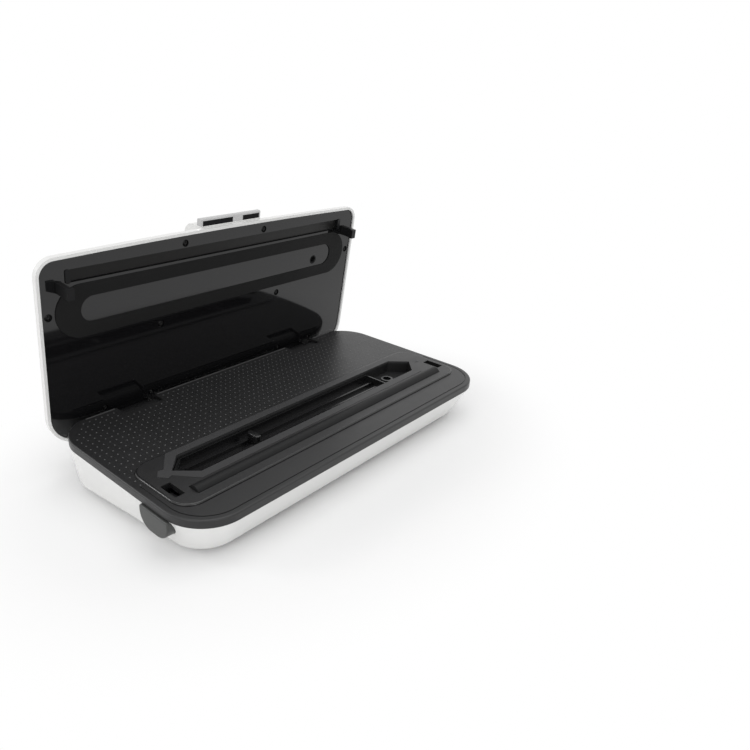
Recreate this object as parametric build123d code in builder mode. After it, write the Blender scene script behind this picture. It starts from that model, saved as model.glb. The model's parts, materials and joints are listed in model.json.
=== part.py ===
from build123d import *
import math
import os

os.makedirs("parts", exist_ok=True)

# Overall sizes in millimetres. X runs along the machine, -Y is the front, the deck slopes down to it.
width = 360.0
depth = 187.0
corner_radius = 36.0
deck_height = 45.0
deck_slope = 3.1
foot_height = 3.0
foot_radius = 9.0
rim_height = 6.5
deck_thickness = 3.0
shell_wall = 2.5
rim_wall = 2.8
floor_thickness = 2.5
side_tuck_back = 5.0
side_tuck_front = 15.0
back_tuck = 3.0
front_tuck = 18.0
keel_radius = 28.0
keel_edge = 6.0

# Hinge and lid
hinge_setback = 11.0
hinge_drop = 14.4
lid_opening = 84.4
lid_gap = 3.0
apron_depth = 23.0
lid_reach = depth - hinge_setback - apron_depth
lid_thickness = 26.0
lid_corner = 15.0
lid_back_corner = 30.0
lid_bow = 2.5
lid_side = 5.0
lid_slope = 30.0
lid_back_slope = 9.0
lid_crown = 8.0
lid_wall = 2.5
lid_lip = 1.5
panel_thickness = 2.6
panel_fit = 0.2
hinge_inset = 57.7
notch_length = 38.8
notch_far = width / 2 - hinge_inset
notch_near = notch_far - notch_length
notch_half = 6.2
arm_fit = 1.4
knuckle_radius = 5.4
pin_radius = 2.5
pin_fit = 0.05
pin_stub = 1.0
lug_thickness = 4.0
lug_back = 5.8
lug_front = 6.5
bracket_floor = 2.3
barrel_clearance = 1.2
arm_flange_thickness = 4.0
arm_flange_front = 17.0
arm_flange_side = 9.0

# Seals around the vacuum trough, placed by their distance in front of the hinge
ring_setback = 46.4
ring_reach = lid_reach - ring_setback
ring_inset = 13.5
upper_ring_length = width - 2 * ring_inset
upper_ring_width = 44.6
upper_ring_band = 21.0
upper_ring_side = 11.3
upper_slot_length = upper_ring_length - 2 * upper_ring_band
upper_slot_width = upper_ring_width - 2 * upper_ring_side
upper_ring_groove = 1.0
platform_rise = 1.6
platform_edge = 1.4
platform_inset = 9.0
platform_half = width / 2 - platform_inset
platform_corner = 16.0
gasket_depth = 2.0
gasket_proud = 0.2
gasket_fit = 0.1
gasket_clearance = 0.3
upper_ring_proud = lid_gap - platform_rise - gasket_proud - gasket_clearance
lower_inset = 42.0
lower_half = width / 2 - lower_inset
lower_half_width = upper_ring_width / 2 + gasket_fit
lower_neck = lower_half + 14.0
lower_neck_half = 5.0
tail_half = 6.5
tail_middle = lower_neck + 4.0
tail_tip = tail_middle + 5.0
gasket_band = 7.5
trough_half = lower_half - 5.0
trough_half_width = lower_half_width - gasket_band
trough_point = lower_neck - 3.4
trough_depth = 10.0
trough_wall = 2.0
apron_line_inset = 4.6
apron_line_width = 0.9
apron_line_depth = 0.5

# Sealing strip on the lid and the rubber bar that it presses on
strip_gap = 7.6
strip_reach = ring_reach + upper_ring_width / 2 + strip_gap
strip_inset = 27.5
strip_length = width - 2 * strip_inset
carrier_width = 10.0
carrier_thickness = 4.0
carrier_fit = 0.2
element_width = 4.0
element_thickness = 0.4
tape_width = 9.0
tape_thickness = 0.3
strip_recess = 2.0
clip_length = 4.0
clip_width = 11.0
clip_proud = 1.0
bar_length = strip_length - 2.0
bar_radius = 5.5
bar_bore = 2.4
bar_clearance = 0.3
groove_fit = 0.25
groove_wall = 1.8
groove_half = bar_radius + groove_fit
platform_margin = 9.0
platform_back = ring_reach - lower_half_width - 1.7
platform_front = strip_reach + groove_half + platform_margin

# Latches and their release buttons
latch_inset = 17.6
latch_x = width / 2 - latch_inset
slot_width = 8.2
slot_length = 17.8
slot_setback = 1.0
slot_front = strip_reach - slot_setback
slot_back = slot_front - slot_length
hook_length = 9.0
hook_setback = 1.7
hook_front = slot_front - hook_setback
hook_back = hook_front - hook_length
hook_thickness = 4.0
hook_nose = 1.5
hook_nose_height = 3.0
hook_root = 3.0
hook_root_margin = 2.0
catch_thickness = 2.4
catch_clearance = 0.3
catch_lip = 3.0
catch_margin = 1.8
button_travel = 4.0
button_setback = 6.5
button_reach = strip_reach - button_setback
button_width = 33.0
button_height = 17.0
button_round = 13.0
button_corner = 2.0
button_proud = 2.0
button_room = 1.1
button_edge = 1.2
button_fit = 0.4
guide_thickness = 1.5
guide_start = latch_x - 5.4
guide_end = latch_x + 2.1
spring_radius = 3.5
spring_wall = 0.9
spring_reach = button_reach + 12.0
spring_depth = 15.0
spring_wall_x = latch_x - 6.4
spring_post_half = 4.5
spring_post_thickness = 2.0
switch_x = latch_x - 1.4
switch_gap = 6.1
switch_length = 8.0
switch_width = 6.5
switch_height = 6.0
switch_reach = slot_back - catch_margin - switch_gap

# Lift-out drip tray and suction port
tray_fit = 0.6
tray_wall = 1.4
tray_end = trough_half - 37.0
tray_top_drop = 1.8
tray_rib = 1.6
tray_rib_height = 3.0
tray_rib_half_gap = 4.5
tab_x = -(trough_half - 61.8)
tab_length = 12.0
tab_thickness = 2.5
tab_height = 8.5
port_x = trough_half - 20.7
port_flange = 8.5
port_flange_thickness = 1.6
port_height = 4.0
port_body = 6.0
port_bore = 4.0
port_stub = 5.5
port_stub_length = 4.0
port_fit = 0.15

# Vacuum pump, electrics and fasteners inside the base
tube_run = 24.3
motor_y = depth / 2 - 55.5
motor_length = 50.0
motor_radius = deck_height / 3
motor_boss_radius = 6.0
motor_boss_length = 2.0
shaft_radius = 2.0
shaft_fit = 0.05
shaft_length = 14.0
shaft_depth = 30.0
eccentric_radius = 7.0
eccentric_offset = 2.0
eccentric_thickness = 8.0
eccentric_start = 4.0
head_length = 30.0
head_margin = 1.0
head_half = motor_radius + head_margin
motor_x = port_x - tube_run - head_length - motor_length
head_corner = 1.6
head_cavity = 11.0
head_cavity_depth = 20.0
cradle_wall = 4.0
cradle_length = 30.0
cradle_fit = 0.1
tube_bend = 11.0
tube_drop = 12.5
tube_bore = 3.4
spigot_fit = 0.2
spigot_length = 7.0
board_y = depth / 2 - 53.5
board_width = 52.0
board_thickness = 1.6
board_post = 6.0
board_post_radius = 3.0
board_post_inset = 5.0
board_block_height = 12.0
board_can_pitch = 13.5
coil_gap = 13.0
coil_length = 34.0
coil_width = 30.0
coil_height = 28.0
coil_core = 9.0
coil_x = motor_x - coil_gap - coil_length / 2
board_gap = 14.0
board_inset = 43.0
board_right = coil_x - coil_length / 2 - board_gap
board_left = board_inset - width / 2
board_length = board_right - board_left
board_x = (board_right + board_left) / 2
board_blocks = [(-board_length / 4, 10.4, 16.8, 13.0), (board_length / 4, -8.7, 14.0, 17.3)]
inlet_x = -40.0
inlet_z = 15.0
inlet_width = 26.0
inlet_height = 13.0
inlet_depth = 18.0
inlet_corner = 3.0
inlet_wall = 2.0
inlet_fit = 0.15
inlet_pin_radius = 1.2
inlet_pin_half = 4.3
inlet_pin_length = 9.0
screw_radius = 1.5
screw_head = 2.9
screw_head_height = 1.6
screw_fit = 0.1
screw_length = 12.0
post_radius = 4.0
post_foot = 12.0
post_weld = 1.0
post_x_back = width / 2 - 30.0
post_x_front = width / 2 - 75.0
post_back = depth / 2 - 31.5
post_front = depth / 2 - hinge_setback - strip_reach - groove_half - groove_wall - post_radius
post_points = [(-post_x_back, post_back), (post_x_back, post_back), (-post_x_front, post_front),
               (post_x_front, post_front)]
foot_x_back = width / 2 - 52.0
foot_x_front = width / 2 - 48.0
foot_front = -depth / 2 + 47.5
foot_points = [(-foot_x_back, post_back), (foot_x_back, post_back), (-foot_x_front, foot_front),
               (foot_x_front, foot_front)]

# Control unit set into the front edge of the lid
control_x = 7.5
control_half = 35.0
control_depth = 42.0
control_front = lid_reach + lid_bow + 1.0
control_back = control_front - control_depth
control_rise = 1.2
control_wall = 2.0
control_fit = 0.2
control_sill = 3.0
control_round = 12.0
lip_reach = 6.5
lip_thickness = 5.0
lip_edge = 1.2
windows = {"left": (-15.5, 34.0), "right": (23.5, 20.0)}
window_height = 4.4
window_edge = 0.8
window_depth = 0.8
key_count = 4
key_pitch = 16.0
key_length = 12.0
key_width = 8.0
key_corner = 0.6
key_reach = control_back + 13.0
key_proud = 1.0
key_flange = 1.2
key_flange_thickness = 1.0
key_fit = 0.3
key_travel = 0.8
key_gap = 0.2
lamp_radius = 1.5
lamp_reach = control_back + 22.0
panel_board_thickness = 1.6
tact_height = 2.5
tact_half = 3.0

# Lid screws, by X and distance in front of the hinge
lid_screw_radius = 1.5
lid_screw_head = 2.8
lid_screw_head_height = 1.2
lid_screw_length = 5.0
lid_screw_recess = 3.2
lid_screw_recess_depth = 1.5
lid_boss_radius = 3.8
front_screw_x = 45.7
front_screw_reach = lid_reach - 7.4
end_screw_x = width / 2 - 8.0
field_screw_x = 70.3
field_screw_reach = ring_reach - 29.9
edge_screw_points = [(-front_screw_x, front_screw_reach), (front_screw_x, front_screw_reach),
                     (-end_screw_x, ring_reach), (end_screw_x, ring_reach)]
field_screw_points = [(-field_screw_x, field_screw_reach), (field_screw_x, field_screw_reach)]
hinge_screw_near = notch_near - 3.0
hinge_screw_far = notch_far + 5.2
hinge_screw_reach = 11.5
hinge_screw_radius = 1.1
hinge_screw_head = 2.1
hinge_screw_recess = 2.5
hinge_screw_length = 5.0
vent_x = port_x + 8.4
vent_reach = ring_reach - 3.6
vent_radius = 4.5
vent_wall = 1.2
vent_height = 6.0
lid_screw_points = edge_screw_points + field_screw_points

# Frames: the sloping deck, and the lid turned back about the hinge axis
slope = math.radians(deck_slope)
lean = math.radians(lid_opening - deck_slope)
hinge_y = depth / 2 - hinge_setback
deck = Plane(origin=(0, 0, deck_height), x_dir=(1, 0, 0), z_dir=(0, -math.sin(slope), math.cos(slope)))
hinge_point = deck.from_local_coords((0, hinge_y, -hinge_drop))
lid = Plane(origin=hinge_point, x_dir=(1, 0, 0), z_dir=(0, math.sin(lean), math.cos(lean)))
panel_level = hinge_drop + lid_gap
panel_back = panel_level + panel_thickness
lid_length = lid_reach + hinge_setback
lid_middle = hinge_setback - lid_length / 2
shell_top = panel_level - lid_lip + lid_thickness
floor_top = foot_height + floor_thickness
deck_normal = Axis(deck.origin, deck.z_dir)
lid_normal = Axis(lid.origin, lid.z_dir)
button_top = rim_height + button_fit
button_inner = latch_x + hook_thickness / 2 + button_travel + button_room
bar_centre = lid_gap + strip_recess - bar_clearance - bar_radius
catch_top = groove_half + groove_wall - bar_centre + catch_clearance
catch_bottom = catch_top + catch_thickness
slot_middle = hinge_y - (slot_back + slot_front) / 2
catch_back = slot_back - catch_margin
catch_front = slot_front + catch_margin
hook_tip = hinge_drop - catch_bottom - catch_clearance - hook_nose_height
strip_face = panel_level + strip_recess
carrier_face = strip_face + tape_thickness
motor_z = floor_top + cradle_wall + motor_radius
motor_end = motor_x + motor_length
head_end = motor_end + head_length
control_floor = panel_level + control_sill + control_fit
control_top = shell_top + control_rise
key_seat = control_top - control_wall - key_gap - key_flange_thickness
board_top = key_seat - key_travel - key_gap - tact_height
sides = {"left": -1, "right": 1}


def in_front(distance):
    """Deck Y of a line that lies this far in front of the hinge axis."""
    return hinge_y - distance


def deck_z(y, below=0.0):
    """Height above the table of a level this far below the deck, at this world Y."""
    return deck_height + y * math.tan(slope) - below / math.cos(slope)


def across(frame, x, y=0.0, z=0.0):
    """A plane square to X, whose own axes are the frame's Y and Z."""
    return Plane(origin=frame.from_local_coords((x, y, z)), x_dir=frame.y_dir, z_dir=frame.x_dir)


def hinge_screw_spots(side):
    """The two screw places of one hinge arm, on the lid."""
    return [(side * x, -hinge_screw_reach) for x in (hinge_screw_near, hinge_screw_far)]


def outline(points, radius):
    """A closed outline through the points with rounded corners."""
    with BuildSketch() as shape:
        with BuildLine():
            Polyline(*points, close=True)
        make_face()
        fillet(shape.vertices(), radius)
    return shape.sketch


def body_outline(inset=0.0):
    """The plan of the machine on the deck, drawn in by an inset."""
    x = width / 2 - inset
    y = depth / 2 - inset
    return outline([(-x, -y), (x, -y), (x, y), (-x, y)], corner_radius - inset)


def keel_outline(inset=0.0):
    """The plan of the machine's underside, narrower towards the front."""
    back = depth / 2 - back_tuck - inset
    front = -depth / 2 + front_tuck + inset
    x_back = width / 2 - side_tuck_back - inset
    x_front = width / 2 - side_tuck_front - inset
    corners = [(-x_front, front), (x_front, front), (x_back, back), (-x_back, back)]
    return outline(corners, keel_radius - inset)


def lid_outline(inset=0.0, slope_in=0.0, back_slope_in=0.0):
    """The plan of the lid about its own middle line, with a bowed front edge and larger back corners."""
    x = width / 2 - inset - slope_in
    front = -lid_length / 2 + inset + slope_in
    back = lid_length / 2 - inset - back_slope_in
    with BuildSketch() as shape:
        with BuildLine():
            Polyline((-x, front), (-x, back), (x, back), (x, front))
            ThreePointArc((x, front), (0, front - lid_bow), (-x, front))
        make_face()
        fillet(shape.vertices().group_by(Axis.Y)[0], lid_corner - inset)
        fillet(shape.vertices().group_by(Axis.Y)[-1], lid_back_corner - inset)
    return shape.sketch


def hull(inset, keel_level):
    """The tapering body between the rim and the underside."""
    with BuildPart() as shape:
        with BuildSketch(deck.offset(-rim_height)):
            add(body_outline(inset))
        with BuildSketch(Plane.XY.offset(keel_level)):
            add(keel_outline(inset))
        loft(ruled=True)
    return shape.part


def trough_outline(inset=0.0):
    """The long trough with pointed ends, drawn in by an inset."""
    x = trough_half - inset
    y = trough_half_width - inset
    tip = trough_point - inset
    points = [(-tip, 0), (-x, -y), (x, -y), (tip, 0), (x, y), (-x, y)]
    with BuildSketch() as shape:
        with BuildLine():
            Polyline(*points, close=True)
        make_face()
    return shape.sketch


def lower_ring_outline(grow=0.0):
    """The outer edge of the lower gasket with a small arrow tail at each end."""
    half = lower_half_width + grow
    quarter = [
        (lower_half, half),
        (lower_neck, lower_neck_half + grow),
        (tail_middle, tail_half + grow),
        (tail_tip + grow, 0),
    ]
    right = quarter + [(x, -y) for x, y in reversed(quarter[:-1])]
    left = [(-x, -y) for x, y in right]
    with BuildSketch() as shape:
        with BuildLine():
            Polyline(*right, *left, close=True)
        make_face()
    return shape.sketch


def button_outline(grow=0.0):
    """The shield shape of a release button, seen along X, with its top edge at zero."""
    half = button_width / 2 + grow
    with BuildSketch() as shape:
        with BuildLine():
            Polyline((-half, grow), (half, grow), (half, -button_height - grow),
                     (-half, -button_height - grow), close=True)
        make_face()
        low = shape.vertices().sort_by(Axis.Y)[:2]
        fillet(low, button_round + grow)
        high = shape.vertices().sort_by(Axis.Y)[-2:]
        fillet(high, button_corner + grow)
    return shape.sketch


# The shared frame stands under the middle of the whole machine with its lid open
back_pitch = math.atan2(lid_thickness - lid_side, lid_back_slope)
crown_start = lid_back_slope - hinge_setback + lid_crown * math.tan(back_pitch / 2)
back_reach = hinge_point.Y - crown_start * math.cos(lean) + (shell_top - lid_crown) * math.sin(lean) + lid_crown
rim_edge = rim_wall / 2
front_reach = (depth / 2 - rim_edge) * math.cos(slope) - rim_edge * math.sin(slope) + rim_edge
frame_shift = Location((0, (front_reach - back_reach) / 2, 0))


def save(piece, name):
    """Moves a finished piece into the shared frame, labels it and writes it to its own file."""
    placed = piece.moved(frame_shift)
    placed.label = name
    export_step(placed, f"parts/{name}.step")


# White tub of the base
with BuildPart() as base_shell:
    add(hull(0.0, foot_height))
    keel = base_shell.faces().sort_by(Axis.Z)[0]
    fillet(keel.edges(), keel_edge)
    add(hull(shell_wall, floor_top), mode=Mode.SUBTRACT)
    for side in sides.values():
        with BuildSketch(across(deck, side * width / 2, in_front(button_reach), -button_top)):
            add(button_outline(button_fit))
        extrude(amount=side * (button_inner - width / 2), mode=Mode.SUBTRACT)
        with BuildSketch(deck.offset(-hinge_drop - notch_half)):
            with Locations((side * (notch_near + notch_far) / 2, depth / 2)):
                Rectangle(notch_far - notch_near, 2 * hinge_setback)
        extrude(amount=hinge_drop, mode=Mode.SUBTRACT)
    with BuildSketch(Plane.XZ.offset(-depth / 2)):
        with Locations((inlet_x, inlet_z)):
            RectangleRounded(inlet_width + 2 * inlet_fit, inlet_height + 2 * inlet_fit,
                             inlet_corner + inlet_fit)
    extrude(amount=inlet_depth, mode=Mode.SUBTRACT)
    with BuildSketch(Plane.XY.offset(floor_top)):
        with Locations(*post_points):
            Circle(post_radius)
    extrude(amount=post_foot)
    with Locations(*[(x, y, foot_height) for x, y in post_points]):
        Cylinder(screw_radius + screw_fit, 2 * (floor_thickness + post_foot), mode=Mode.SUBTRACT)
        Cylinder(screw_head + screw_fit, 2 * screw_head_height, mode=Mode.SUBTRACT)
    board_corners = [
        (board_x + sx * (board_length / 2 - board_post_inset),
         board_y + sy * (board_width / 2 - board_post_inset))
        for sx in (-1, 1) for sy in (-1, 1)
    ]
    with BuildSketch(Plane.XY.offset(floor_top)):
        with Locations(*board_corners):
            Circle(board_post_radius)
    extrude(amount=board_post)
save(base_shell.part, "base_shell")

# Rubber feet and the screws that hold the tub to the top plate
for name, (x, y) in zip(["back_left", "back_right", "front_left", "front_right"], foot_points):
    with BuildPart() as foot:
        with BuildSketch(Plane.XY):
            with Locations((x, y)):
                Circle(foot_radius)
        extrude(amount=foot_height)
        fillet(foot.faces().sort_by(Axis.Z)[0].edges(), foot_height / 3)
    save(foot.part, f"foot_{name}")

with BuildPart() as base_screws:
    with BuildSketch(Plane.XY.offset(foot_height)):
        with Locations(*post_points):
            Circle(screw_head)
    extrude(amount=screw_head_height)
    with BuildSketch(Plane.XY.offset(foot_height + screw_head_height)):
        with Locations(*post_points):
            Circle(screw_radius)
    extrude(amount=screw_length + post_foot)
save(base_screws.part, "base_screws")

# Black top plate: deck, rim, raised platform, trough, bar groove and latch slots
groove_floor = bar_centre - groove_half
groove_end = bar_length / 2 + groove_fit
platform_middle = in_front((platform_back + platform_front) / 2)
with BuildPart() as top_plate:
    with BuildSketch(deck.offset(-deck_thickness)):
        add(body_outline())
    extrude(amount=deck_thickness)
    with BuildSketch(deck.offset(-rim_height)):
        add(body_outline())
        add(body_outline(rim_wall), mode=Mode.SUBTRACT)
    extrude(amount=rim_height - deck_thickness)
    fillet(top_plate.faces().sort_by(deck_normal)[-1].edges(), rim_edge)
    with BuildSketch(across(deck, -width, hinge_y, -hinge_drop)):
        with Locations((hinge_drop + lid_gap, hinge_drop)):
            Rectangle(2 * (hinge_drop + lid_gap), 2 * hinge_drop)
        Circle(panel_level - barrel_clearance, mode=Mode.SUBTRACT)
    extrude(amount=2 * width, mode=Mode.SUBTRACT)
    with BuildSketch(deck):
        with Locations((0, platform_middle)):
            RectangleRounded(2 * platform_half, platform_front - platform_back, platform_corner)
    extrude(amount=platform_rise)
    fillet(top_plate.faces().sort_by(deck_normal)[-1].edges(), platform_edge)
    with BuildSketch(deck.offset(-trough_depth - trough_wall)):
        with Locations((0, in_front(ring_reach))):
            add(trough_outline(-trough_wall))
    extrude(amount=trough_depth + trough_wall)
    with BuildSketch(deck.offset(groove_floor - groove_wall)):
        with Locations((0, in_front(strip_reach))):
            Rectangle(2 * (groove_end + groove_wall), 2 * (groove_half + groove_wall))
    extrude(amount=-groove_floor)
    with BuildSketch(deck.offset(platform_rise - gasket_depth)):
        with Locations((0, in_front(ring_reach))):
            add(lower_ring_outline(gasket_fit))
    extrude(amount=2 * gasket_depth, mode=Mode.SUBTRACT)
    with BuildSketch(deck.offset(-trough_depth)):
        with Locations((0, in_front(ring_reach))):
            add(trough_outline())
    extrude(amount=2 * trough_depth, mode=Mode.SUBTRACT)
    with BuildSketch(deck.offset(groove_floor)):
        with Locations((0, in_front(strip_reach))):
            Rectangle(2 * groove_end, 2 * groove_half)
    extrude(amount=-groove_floor + 2 * platform_rise, mode=Mode.SUBTRACT)
    with BuildSketch(deck.offset(-apron_line_depth)):
        add(body_outline(apron_line_inset))
        add(body_outline(apron_line_inset + apron_line_width), mode=Mode.SUBTRACT)
        with Locations((0, in_front(ring_reach) + depth / 2)):
            Rectangle(2 * width, depth, mode=Mode.SUBTRACT)
    extrude(amount=2 * apron_line_depth, mode=Mode.SUBTRACT)
    for side in sides.values():
        with BuildSketch(deck.offset(-deck_thickness)):
            with Locations((side * latch_x, slot_middle)):
                Rectangle(slot_width, slot_front - slot_back)
        extrude(amount=2 * deck_thickness, mode=Mode.SUBTRACT)
        with BuildSketch(deck.offset(-rim_height)):
            with Locations((side * (notch_near + notch_far) / 2, hinge_y + hinge_setback - notch_half)):
                Rectangle(notch_far - notch_near, 2 * hinge_setback)
        extrude(amount=2 * rim_height, mode=Mode.SUBTRACT)
    with BuildSketch(deck.offset(-trough_depth - trough_wall)):
        with Locations((port_x, in_front(ring_reach))):
            Circle(port_stub + port_fit)
    extrude(amount=2 * trough_wall, mode=Mode.SUBTRACT)
    for side in sides.values():
        with BuildSketch(deck.offset(-catch_bottom)):
            with Locations((side * (guide_start + guide_end) / 2, 0)):
                for edge, away in ((catch_back, -1), (catch_front, 1)):
                    with Locations((0, in_front(edge + away * (catch_clearance + guide_thickness / 2)))):
                        Rectangle(guide_end - guide_start, guide_thickness)
        extrude(amount=catch_bottom - deck_thickness + post_weld)
        with BuildSketch(deck.offset(-spring_depth - spring_radius)):
            with Locations((side * (spring_wall_x - spring_post_thickness / 2), in_front(spring_reach))):
                Rectangle(spring_post_thickness, 2 * spring_post_half)
        extrude(amount=spring_depth + spring_radius - deck_thickness + post_weld)
    for x, y in post_points:
        foot_z = floor_top + post_foot
        with BuildSketch(Plane.XY.offset(foot_z)):
            with Locations((x, y)):
                Circle(post_radius)
        extrude(amount=deck_z(y, deck_thickness) - foot_z + post_weld)
        with BuildSketch(Plane.XY.offset(foot_z)):
            with Locations((x, y)):
                Circle(screw_radius + screw_fit)
        extrude(amount=screw_length, mode=Mode.SUBTRACT)
save(top_plate.part, "top_plate")

# Seals and fittings carried by the top plate
with BuildPart() as lower_gasket:
    with BuildSketch(deck.offset(platform_rise - gasket_depth)):
        with Locations((0, in_front(ring_reach))):
            add(lower_ring_outline())
            add(trough_outline(), mode=Mode.SUBTRACT)
    extrude(amount=gasket_depth + gasket_proud)
save(lower_gasket.part, "lower_gasket")

with BuildPart() as press_bar:
    with BuildSketch(across(deck, -bar_length / 2, in_front(strip_reach), bar_centre)):
        Circle(bar_radius)
        Circle(bar_bore, mode=Mode.SUBTRACT)
    extrude(amount=bar_length)
save(press_bar.part, "press_bar")

port_level = -trough_depth - trough_wall - port_stub_length
with BuildPart() as suction_port:
    with BuildSketch(deck.offset(-trough_depth)):
        with Locations((port_x, in_front(ring_reach))):
            Circle(port_flange)
    extrude(amount=port_flange_thickness)
    with BuildSketch(deck.offset(-trough_depth)):
        with Locations((port_x, in_front(ring_reach))):
            Circle(port_body)
    extrude(amount=port_height)
    with BuildSketch(deck.offset(port_level)):
        with Locations((port_x, in_front(ring_reach))):
            Circle(port_stub)
    extrude(amount=port_stub_length + trough_wall)
    with BuildSketch(deck.offset(port_level)):
        with Locations((port_x, in_front(ring_reach))):
            Circle(port_bore)
    extrude(amount=2 * (port_height - port_level), mode=Mode.SUBTRACT)
save(suction_port.part, "suction_port")

# Lift-out drip tray, which ends short of the port
with BuildPart() as drip_tray:
    with BuildSketch(deck.offset(-trough_depth)):
        with Locations((0, in_front(ring_reach))):
            add(trough_outline(tray_fit))
        with Locations((tray_end + width / 2, in_front(ring_reach))):
            Rectangle(width, width, mode=Mode.SUBTRACT)
    extrude(amount=trough_depth - tray_top_drop)
    with BuildSketch(deck.offset(-trough_depth + tray_wall)):
        with Locations((0, in_front(ring_reach))):
            add(trough_outline(tray_fit + tray_wall))
        with Locations((tray_end - tray_wall + width / 2, in_front(ring_reach))):
            Rectangle(width, width, mode=Mode.SUBTRACT)
    extrude(amount=trough_depth, mode=Mode.SUBTRACT)
    rib_start = -trough_half
    rib_end = tray_end - tray_wall
    with BuildSketch(deck.offset(-trough_depth + tray_wall)):
        for away in (-1, 1):
            with Locations(((rib_start + rib_end) / 2, in_front(ring_reach) + away * tray_rib_half_gap)):
                Rectangle(rib_end - rib_start, tray_rib)
    extrude(amount=tray_rib_height)
    with BuildSketch(deck.offset(-trough_depth + tray_wall)):
        with Locations((tab_x, in_front(ring_reach))):
            RectangleRounded(tab_length, tab_thickness, tab_thickness / 3)
    extrude(amount=tab_height)
save(drip_tray.part, "drip_tray")

# Vacuum pump: motor, head, shaft, eccentric, cradle and the tube from the port
motor_line = Plane(origin=(0, motor_y, motor_z), x_dir=(0, 1, 0), z_dir=(1, 0, 0))
with BuildPart() as pump_motor:
    with BuildSketch(motor_line.offset(motor_x)):
        Circle(motor_radius)
    extrude(amount=motor_length)
    fillet(pump_motor.faces().sort_by(Axis.X)[0].edges(), motor_boss_length)
    with BuildSketch(motor_line.offset(motor_end)):
        Circle(motor_boss_radius)
    extrude(amount=motor_boss_length)
    with BuildSketch(motor_line.offset(motor_end + motor_boss_length)):
        Circle(shaft_radius + shaft_fit)
    extrude(amount=-shaft_depth - shaft_fit, mode=Mode.SUBTRACT)
save(pump_motor.part, "pump_motor")

shaft_start = motor_end + motor_boss_length - shaft_depth
with BuildPart() as pump_shaft:
    with BuildSketch(motor_line.offset(shaft_start)):
        Circle(shaft_radius)
    extrude(amount=shaft_depth + shaft_length)
save(pump_shaft.part, "pump_shaft")

with BuildPart() as pump_eccentric:
    with BuildSketch(motor_line.offset(motor_end + motor_boss_length + eccentric_start)):
        with Locations((0, eccentric_offset)):
            Circle(eccentric_radius)
        Circle(shaft_radius + shaft_fit, mode=Mode.SUBTRACT)
    extrude(amount=eccentric_thickness)
save(pump_eccentric.part, "pump_eccentric")

port_end = deck.from_local_coords((port_x, in_front(ring_reach), port_level))
tube_low = port_end - deck.z_dir * tube_drop
with BuildPart() as pump_head:
    with BuildSketch(motor_line.offset(motor_end)):
        RectangleRounded(2 * head_half, 2 * head_half, head_corner)
        Circle(head_cavity, mode=Mode.SUBTRACT)
    extrude(amount=head_cavity_depth)
    with BuildSketch(motor_line.offset(motor_end + head_cavity_depth)):
        RectangleRounded(2 * head_half, 2 * head_half, head_corner)
    extrude(amount=head_length - head_cavity_depth)
    with BuildSketch(motor_line.offset(head_end)):
        with Locations((0, tube_low.Z - motor_z)):
            Circle(tube_bore - spigot_fit)
    extrude(amount=spigot_length)
save(pump_head.part, "pump_head")

with BuildPart() as pump_cradle:
    with BuildSketch(motor_line.offset(motor_x + (motor_length - cradle_length) / 2)):
        with Locations((0, (floor_top - motor_z) / 2)):
            Rectangle(2 * (motor_radius + cradle_wall), motor_z - floor_top)
        Circle(motor_radius + cradle_fit, mode=Mode.SUBTRACT)
    extrude(amount=cradle_length)
save(pump_cradle.part, "pump_cradle")

with BuildPart() as air_tube:
    with BuildLine() as tube_route:
        FilletPolyline(
            port_end,
            tube_low,
            (port_x, motor_y, tube_low.Z),
            (head_end, motor_y, tube_low.Z),
            radius=tube_bend,
        )
    with BuildSketch(Plane(origin=port_end, x_dir=(1, 0, 0), z_dir=-deck.z_dir)):
        Circle(port_stub)
        Circle(tube_bore, mode=Mode.SUBTRACT)
    sweep(path=tube_route.wire())
save(air_tube.part, "air_tube")

# Electrics
with BuildPart() as circuit_board:
    with BuildSketch(Plane.XY.offset(floor_top + board_post)):
        with Locations((board_x, board_y)):
            Rectangle(board_length, board_width)
    extrude(amount=board_thickness)
    with BuildSketch(Plane.XY.offset(floor_top + board_post + board_thickness)):
        for x, y, length, breadth in board_blocks:
            with Locations((board_x + x, board_y + y)):
                Rectangle(length, breadth)
        with GridLocations(board_can_pitch, board_can_pitch, 2, 2):
            with Locations((board_x, board_y)):
                Circle(board_post_radius)
    extrude(amount=board_block_height)
save(circuit_board.part, "circuit_board")

with BuildPart() as transformer:
    with BuildSketch(Plane.XY.offset(floor_top)):
        with Locations((coil_x, motor_y)):
            Rectangle(coil_length, coil_width - coil_core)
    extrude(amount=coil_height)
    with BuildSketch(Plane.XY.offset(floor_top + coil_core / 2)):
        with Locations((coil_x, motor_y)):
            RectangleRounded(coil_length - coil_core, coil_width, coil_core / 4)
    extrude(amount=coil_height - coil_core)
save(transformer.part, "transformer")

inlet_face = depth / 2 - back_tuck / 2
with BuildPart() as power_inlet:
    with BuildSketch(Plane.XZ.offset(-inlet_face)):
        with Locations((inlet_x, inlet_z)):
            RectangleRounded(inlet_width, inlet_height, inlet_corner)
    extrude(amount=inlet_depth)
    with BuildSketch(Plane.XZ.offset(-inlet_face)):
        with Locations((inlet_x, inlet_z)):
            SlotOverall(inlet_width - 2 * inlet_wall, inlet_height - 2 * inlet_wall)
    extrude(amount=inlet_depth - inlet_wall, mode=Mode.SUBTRACT)
    with BuildSketch(Plane.XZ.offset(-inlet_face + inlet_depth - inlet_wall)):
        with Locations((inlet_x - inlet_pin_half, inlet_z), (inlet_x + inlet_pin_half, inlet_z)):
            Circle(inlet_pin_radius)
    extrude(amount=-inlet_pin_length)
save(power_inlet.part, "power_inlet")

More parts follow.
